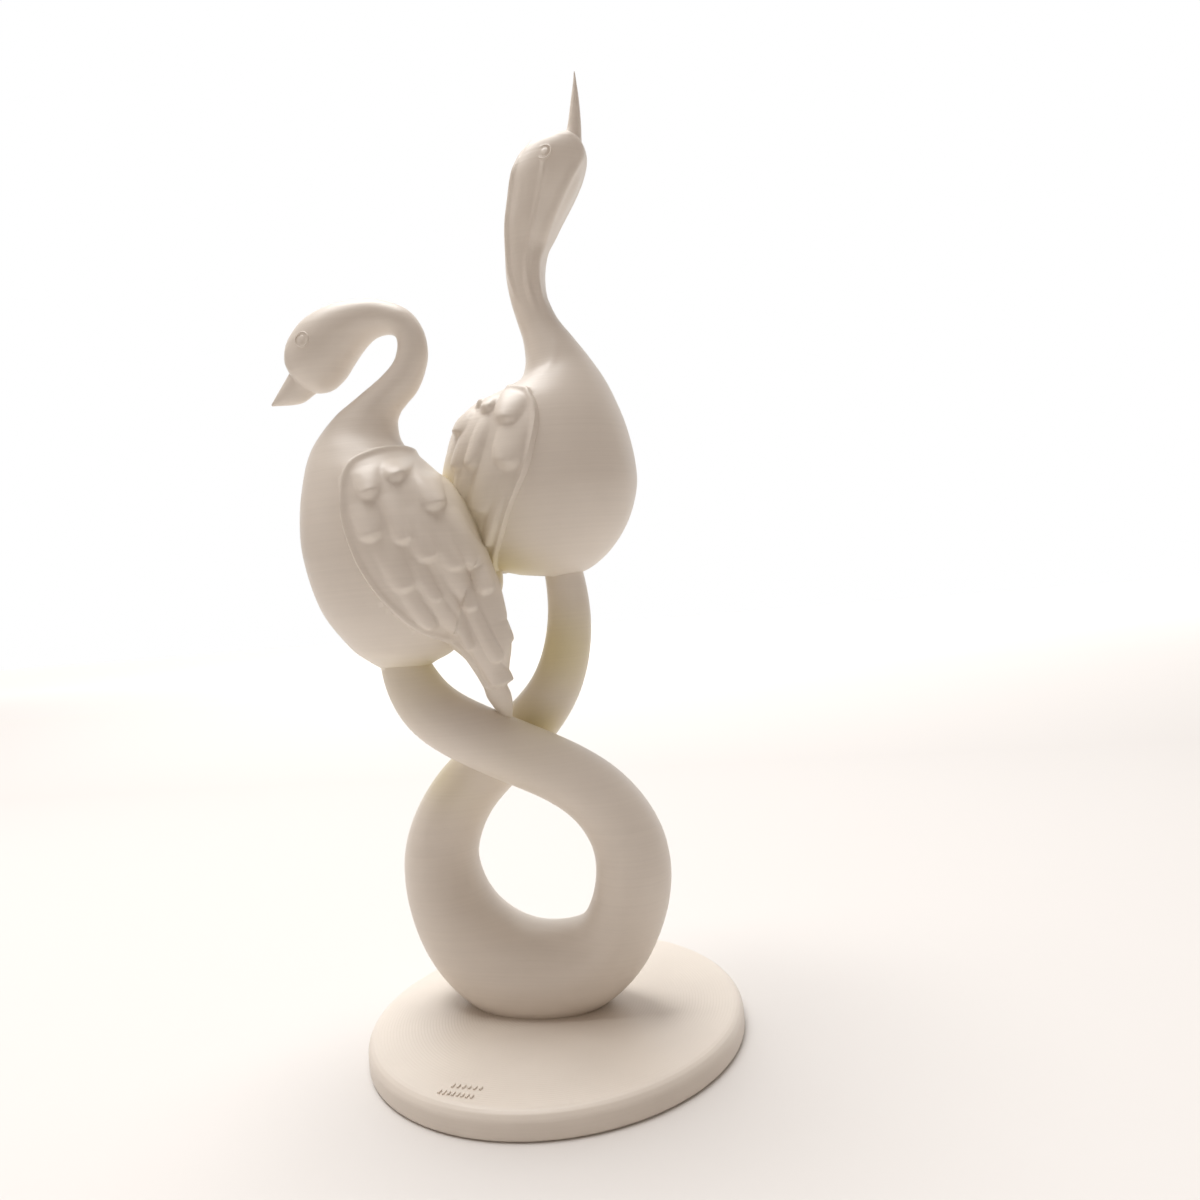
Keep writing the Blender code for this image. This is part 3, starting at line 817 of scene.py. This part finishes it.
# Stubs of the throw-away supports are left on the base beside the loop's left foot, where the
# bar leans out over it and was propped while it printed.
STUB_START = Vector((-0.0172, 0.0006, 0.0))
STUB_END = Vector((-0.0138, -0.0014, 0.0))
STUB_COUNT = 7
STUB_RADIUS = 0.00028
STUB_TIP_RADIUS = 0.00012
STUB_HEIGHT = 0.0010
STUB_SHORTEST = 0.45
STUB_SPREAD = 0.0005
STUB_SIDES = 9
STUB_SEED = 11


def support_stubs():
    """Stand a short ragged row of stubs on the base."""
    mesh = bpy.data.meshes.new("stubs")
    level = Vector((0, 0, BASE_THICKNESS))
    places = [STUB_START.lerp(STUB_END, index / (STUB_COUNT - 1)) + level
              for index in range(STUB_COUNT)]
    mesh.from_pydata(places, [], [])
    stubs = figure_piece("stubs", mesh)
    tree, start, end = node_tree_for(stubs, "row_of_stubs", [
        ("Radius", "Float", STUB_RADIUS),
        ("Height", "Float", STUB_HEIGHT),
        ("Spread", "Float", STUB_SPREAD),
        ("Seed", "Int", STUB_SEED),
    ])
    shift = add_node(tree, "FunctionNodeRandomValue", {"Seed": start.outputs["Seed"]},
                     data_type="FLOAT_VECTOR")
    shift.inputs[0].default_value = (-1, -1, 0)
    shift.inputs[1].default_value = (1, 1, 0)
    scaled = add_node(tree, "ShaderNodeVectorMath", operation="SCALE")
    tree.links.new(shift.outputs[0], scaled.inputs[0])
    tree.links.new(start.outputs["Spread"], scaled.inputs["Scale"])
    moved = add_node(tree, "GeometryNodeSetPosition",
                     {"Geometry": start.outputs["Geometry"], "Offset": scaled.outputs[0]})
    peg = add_node(tree, "GeometryNodeMeshCone",
                   {"Vertices": STUB_SIDES, "Radius Top": STUB_TIP_RADIUS,
                    "Radius Bottom": start.outputs["Radius"], "Depth": start.outputs["Height"]})
    tall = add_node(tree, "FunctionNodeRandomValue", {"Seed": start.outputs["Seed"]},
                    data_type="FLOAT")
    tall.inputs[2].default_value = STUB_SHORTEST
    tall.inputs[3].default_value = 1.0
    sizes = add_node(tree, "ShaderNodeCombineXYZ", {"X": 1.0, "Y": 1.0, "Z": tall.outputs[1]})
    stand = add_node(tree, "GeometryNodeInstanceOnPoints",
                     {"Points": moved.outputs["Geometry"], "Instance": peg.outputs["Mesh"],
                      "Scale": sizes.outputs["Vector"]})
    end_in_plastic(tree, stand.outputs["Instances"], end)
    return plain_mesh(stubs)


stubs = support_stubs()

# The printer drew all of this as one skin, so the forms are fused into one piece. A filled seam
# between the birds leaves nothing hollow where the two cloaks meet.
SEAM_MIDDLE = (-50, 20, 482)
SEAM_HALF_SIZES = (22, 24, 44)
SEAM_LEAN = -20
SEAM_SIDES = 32
CREASE_ANGLE = 55

seam = ball("seam", SEAM_SIDES,
            Matrix.LocRotScale(place(*SEAM_MIDDLE), Euler((0, math.radians(SEAM_LEAN), 0)),
                               Vector(SEAM_HALF_SIZES) * SHARE))


def fused(name, first, others):
    """Join closed forms to the first one, and give the whole as one plain piece."""
    for other in others:
        join = first.modifiers.new("join", "BOOLEAN")
        join.operation = "UNION"
        join.solver = "EXACT" if other is stem else "MANIFOLD"
        join.use_self = other is stem
        join.object = other
    first.name = name
    made = plain_mesh(first)
    for other in others:
        bpy.data.objects.remove(other, do_unlink=True)
    return made


statue = fused("swans_on_looped_stem", base_disc,
               [stem, *bodies.values(), *beaks, *tails.values(), *cloaks, *eyes, seam, strokes,
                stubs])
statue.data.shade_smooth()
statue.data.set_sharp_from_angle(angle=math.radians(CREASE_ANGLE))

# The plastic is ivory PLA, drawn by a hot nozzle in level layers. It is a little see-through,
# and the warm glow of light coming through thin places and the fused seams is painted into its
# colour. Its layers give a soft satin shine with faint level lines. Real layers of about 0.2 mm are
# too fine to show, so lines and tracks are coarser.
IVORY = "#e3dacf"
# Painted glow: the warm colour of light shining through thin plastic, mixed into the ivory.
PAINTED_GLOW_GOLD = "#ddd1a8"
PLASTIC_IOR = 1.46
ROUGHNESS_LOW = 0.34
ROUGHNESS_HIGH = 0.46
LAYER_HEIGHT = 0.00055
LAYER_SHADES = (0.98, 1.01)
LAYER_STRENGTH = 0.3
LAYER_DEPTH = 0.00012
LAYER_WAVES = 12.0
TRACK_WIDTH = 0.00060
TRACK_STRENGTH = 0.25
TRACK_DEPTH = 0.00004
TRACK_FADE = (0.0001, 0.0004)
CLOUD_SCALE = 70.0
CLOUD_SHADES = (0.975, 1.02)
NOISE_LOW = 0.3
NOISE_HIGH = 0.7
PAINTED_GLOW_FALL = 1.2

# Places where the warm glow of light through the plastic is painted: x, y, z and radius in
# thousandths of the height above the base
PAINTED_GLOW_PLACES = (
    (-40, 10, 520, 60),
    (-60, 0, 560, 30),
    (-10, 0, 480, 40),
    (0, 0, 290, 45),
    (30, 20, 380, 50),
    (-100, -20, 372, 45),
    (-100, 30, 240, 35),
)


def linear(hex_colour):
    """Turn an sRGB hex colour into linear values with alpha."""
    found = []
    for index in (1, 3, 5):
        value = int(hex_colour[index:index + 2], 16) / 255
        found.append(value / 12.92 if value <= 0.04045 else ((value + 0.055) / 1.055) ** 2.4)
    return (*found, 1.0)


def mark_painted_glow(piece):
    """Write how much painted glow each point of a mesh gets, from 0 to 1, as a point attribute."""
    points = np.empty(len(piece.data.vertices) * 3)
    piece.data.vertices.foreach_get("co", points)
    points = points.reshape(-1, 3)
    painted_glow = np.zeros(len(points))
    for x, y, z, radius in PAINTED_GLOW_PLACES:
        gap = np.linalg.norm(points - np.array(place(x, y, z)), axis=1) / (radius * SHARE)
        painted_glow = np.maximum(painted_glow, np.exp(-gap ** 2 * PAINTED_GLOW_FALL))
    written = piece.data.attributes.new("painted_glow", "FLOAT", "POINT")
    written.data.foreach_set("value", painted_glow)


def finish_plastic(material):
    """Fill in the plastic: colour, a painted warm glow, pale clouds, level lines and drawn tracks."""
    material.use_nodes = True
    tree = material.node_tree
    shader = tree.nodes["Principled BSDF"]
    shader.inputs["IOR"].default_value = PLASTIC_IOR
    shader.inputs["Metallic"].default_value = 0.0
    where = add_node(tree, "ShaderNodeTexCoord").outputs["Object"]
    axes = add_node(tree, "ShaderNodeSeparateXYZ", {"Vector": where})
    painted_glow = add_node(tree, "ShaderNodeAttribute", attribute_name="painted_glow")
    clouds = add_node(tree, "ShaderNodeTexNoise",
                      {"Vector": where, "Scale": CLOUD_SCALE, "Detail": 3.0})
    # The painted glow of light through the plastic is mixed into the colour here.
    tint = add_node(tree, "ShaderNodeMix", {"Factor": painted_glow.outputs["Fac"]}, data_type="RGBA")
    tint.inputs["A"].default_value = linear(IVORY)
    tint.inputs["B"].default_value = linear(PAINTED_GLOW_GOLD)
    level = add_node(tree, "ShaderNodeMapping", {"Vector": where})
    level.inputs["Scale"].default_value = (LAYER_WAVES, LAYER_WAVES, 1 / LAYER_HEIGHT)
    bands = add_node(tree, "ShaderNodeTexNoise",
                     {"Vector": level.outputs["Vector"], "Scale": 1.0, "Detail": 2.0})
    bright = add_node(tree, "ShaderNodeMapRange",
                      {"Value": bands.outputs["Fac"], "From Min": NOISE_LOW, "From Max": NOISE_HIGH,
                       "To Min": LAYER_SHADES[0], "To Max": LAYER_SHADES[1]})
    cloudy = add_node(tree, "ShaderNodeMapRange",
                      {"Value": clouds.outputs["Fac"], "From Min": NOISE_LOW, "From Max": NOISE_HIGH,
                       "To Min": CLOUD_SHADES[0], "To Max": CLOUD_SHADES[1]})
    both = add_node(tree, "ShaderNodeMath", operation="MULTIPLY")
    tree.links.new(bright.outputs["Result"], both.inputs[0])
    tree.links.new(cloudy.outputs["Result"], both.inputs[1])
    colour = add_node(tree, "ShaderNodeVectorMath", operation="SCALE")
    tree.links.new(tint.outputs["Result"], colour.inputs[0])
    tree.links.new(both.outputs["Value"], colour.inputs["Scale"])
    tree.links.new(colour.outputs["Vector"], shader.inputs["Base Color"])
    rough = add_node(tree, "ShaderNodeMapRange",
                     {"Value": bands.outputs["Fac"], "From Min": NOISE_LOW, "From Max": NOISE_HIGH,
                      "To Min": ROUGHNESS_LOW, "To Max": ROUGHNESS_HIGH})
    tree.links.new(rough.outputs["Result"], shader.inputs["Roughness"])
    flat = add_node(tree, "ShaderNodeCombineXYZ",
                    {"X": axes.outputs["X"], "Y": axes.outputs["Y"]})
    reach = add_node(tree, "ShaderNodeVectorMath", {"Vector": flat.outputs["Vector"]},
                     operation="LENGTH")
    rings = add_node(tree, "ShaderNodeMath", operation="MULTIPLY")
    tree.links.new(reach.outputs["Value"], rings.inputs[0])
    rings.inputs[1].default_value = 2 * math.pi / TRACK_WIDTH
    wave = add_node(tree, "ShaderNodeMath", operation="SINE")
    tree.links.new(rings.outputs["Value"], wave.inputs[0])
    on_top = add_node(tree, "ShaderNodeMapRange",
                      {"Value": axes.outputs["Z"], "From Min": BASE_THICKNESS + TRACK_FADE[1],
                       "From Max": BASE_THICKNESS + TRACK_FADE[0], "To Min": 0.0, "To Max": 1.0})
    tracks = add_node(tree, "ShaderNodeMath", operation="MULTIPLY")
    tree.links.new(wave.outputs["Value"], tracks.inputs[0])
    tree.links.new(on_top.outputs["Result"], tracks.inputs[1])
    track_bump = add_node(tree, "ShaderNodeBump",
                          {"Height": tracks.outputs["Value"], "Strength": TRACK_STRENGTH,
                           "Distance": TRACK_DEPTH})
    layer_bump = add_node(tree, "ShaderNodeBump",
                          {"Height": bands.outputs["Fac"], "Strength": LAYER_STRENGTH,
                           "Distance": LAYER_DEPTH, "Normal": track_bump.outputs["Normal"]})
    tree.links.new(layer_bump.outputs["Normal"], shader.inputs["Normal"])


# Each point gets its share of the painted warm glow.
mark_painted_glow(statue)
finish_plastic(plastic)
statue.data.materials.clear()
statue.data.materials.append(plastic)
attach(statue, "root")
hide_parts("lovebirds_statue")

# The studio has a plain pale sweep, which is floor in front and a lit backdrop cloth behind, and
# glows further off. A wide soft light hangs above and a little behind, and a weak one to the left.
SWEEP_COLOUR = "#dedbd8"
SWEEP_ROUGHNESS = 0.9
SWEEP_REACH = 3.0
SWEEP_BACK = 1.8
SWEEP_GLOW = 0.75
GLOW_START = 0.25
GLOW_FULL = 1.0
AIR_COLOUR = "#ffecde"
AIR_LIGHT = 0.31
AIM_HEIGHT = 0.09

sweep_mesh = bpy.data.meshes.new("pale_sweep")
corners = [(side * SWEEP_REACH, back, height) for side, back, height in (
    (-1, -SWEEP_REACH, 0), (1, -SWEEP_REACH, 0), (1, SWEEP_BACK, 0), (-1, SWEEP_BACK, 0),
    (1, SWEEP_BACK, SWEEP_REACH), (-1, SWEEP_BACK, SWEEP_REACH))]
sweep_mesh.from_pydata(corners, [], [(0, 1, 2, 3), (3, 2, 4, 5)])
sweep_mesh.polygons[1].material_index = 1
sweep = bpy.data.objects.new("pale_sweep", sweep_mesh)
bpy.context.scene.collection.objects.link(sweep)
paint = bpy.data.materials.new("pale_matt_paint")
paint.use_nodes = True
shader = paint.node_tree.nodes["Principled BSDF"]
shader.inputs["Base Color"].default_value = linear(SWEEP_COLOUR)
shader.inputs["Roughness"].default_value = SWEEP_ROUGHNESS
shader.inputs["Emission Color"].default_value = linear(SWEEP_COLOUR)
where = add_node(paint.node_tree, "ShaderNodeTexCoord").outputs["Object"]
depth = add_node(paint.node_tree, "ShaderNodeSeparateXYZ", {"Vector": where})
glow = add_node(paint.node_tree, "ShaderNodeMapRange",
                {"Value": depth.outputs["Y"], "From Min": GLOW_START, "From Max": GLOW_FULL,
                 "To Max": SWEEP_GLOW})
paint.node_tree.links.new(glow.outputs["Result"], shader.inputs["Emission Strength"])
sweep_mesh.materials.append(paint)
backdrop = bpy.data.materials.new("lit_backdrop_cloth")
backdrop.use_nodes = True
cloth = backdrop.node_tree.nodes["Principled BSDF"]
cloth.inputs["Base Color"].default_value = (0, 0, 0, 1)
cloth.inputs["Specular IOR Level"].default_value = 0.0
cloth.inputs["Emission Color"].default_value = (1, 1, 1, 1)
cloth.inputs["Emission Strength"].default_value = 1.0
sweep_mesh.materials.append(backdrop)

world = bpy.data.worlds.new("studio")
world.use_nodes = True
world.node_tree.nodes["Background"].inputs["Color"].default_value = linear(AIR_COLOUR)
world.node_tree.nodes["Background"].inputs["Strength"].default_value = AIR_LIGHT
bpy.context.scene.world = world
bpy.context.scene.view_settings.view_transform = "Standard"

for name, spot, size, power, colour in (
    ("top_light", (-0.20, 0.12, 1.10), 0.8, 13.0, "#ffffff"),
    ("left_light", (-0.9, -0.30, 0.40), 0.5, 0.5, "#fff8f2"),
):
    lamp = bpy.data.lights.new(name, "AREA")
    lamp.shape = "DISK"
    lamp.size = size
    lamp.energy = power
    lamp.color = linear(colour)[:3]
    holder = bpy.data.objects.new(name, lamp)
    holder.location = spot
    aim = Vector((0, 0, AIM_HEIGHT)) - Vector(spot)
    holder.rotation_euler = aim.to_track_quat("-Z", "Y").to_euler()
    bpy.context.scene.collection.objects.link(holder)
